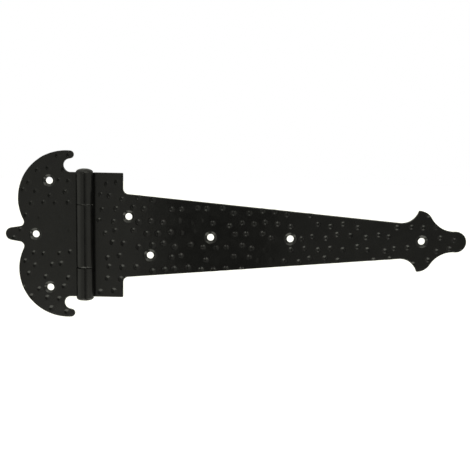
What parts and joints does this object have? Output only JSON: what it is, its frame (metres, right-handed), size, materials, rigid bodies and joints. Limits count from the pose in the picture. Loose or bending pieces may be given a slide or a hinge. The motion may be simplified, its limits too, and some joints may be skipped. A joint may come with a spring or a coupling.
{
  "type": "door hinge",
  "caption": "Ornamental tee hinge: a lobed frame leaf and a long tapered strap leaf with a finial, both hammered sheet rolled round a headed pin.",
  "frame": {"origin": "on the mounting plane, at the back of the leaves, straight behind the middle of the pin axis", "axes": "+X along the strap towards its finial, +Y into the door and its frame, +Z along the pin axis towards its domed head"},
  "size_m": [0.3, 0.0111, 0.1094],
  "materials": {
    "leaf_coat": "semi-gloss black powder coat on hammered steel sheet",
    "pin_coat": "semi-gloss black powder coat on a headed steel pin"
  },
  "bodies": {
    "frame_leaf": {"frame_leaf": "leaf_coat", "hinge_pin": "pin_coat"},
    "strap_leaf": {"strap_leaf": "leaf_coat"}
  },
  "joints": [
    {"name": "strap_swing", "type": "hinge", "parent": "frame_leaf", "child": "strap_leaf", "pos_m": [0, -0.00555, 0], "axis": [0, 0, -1], "range_deg": [-60, 180]}
  ]
}
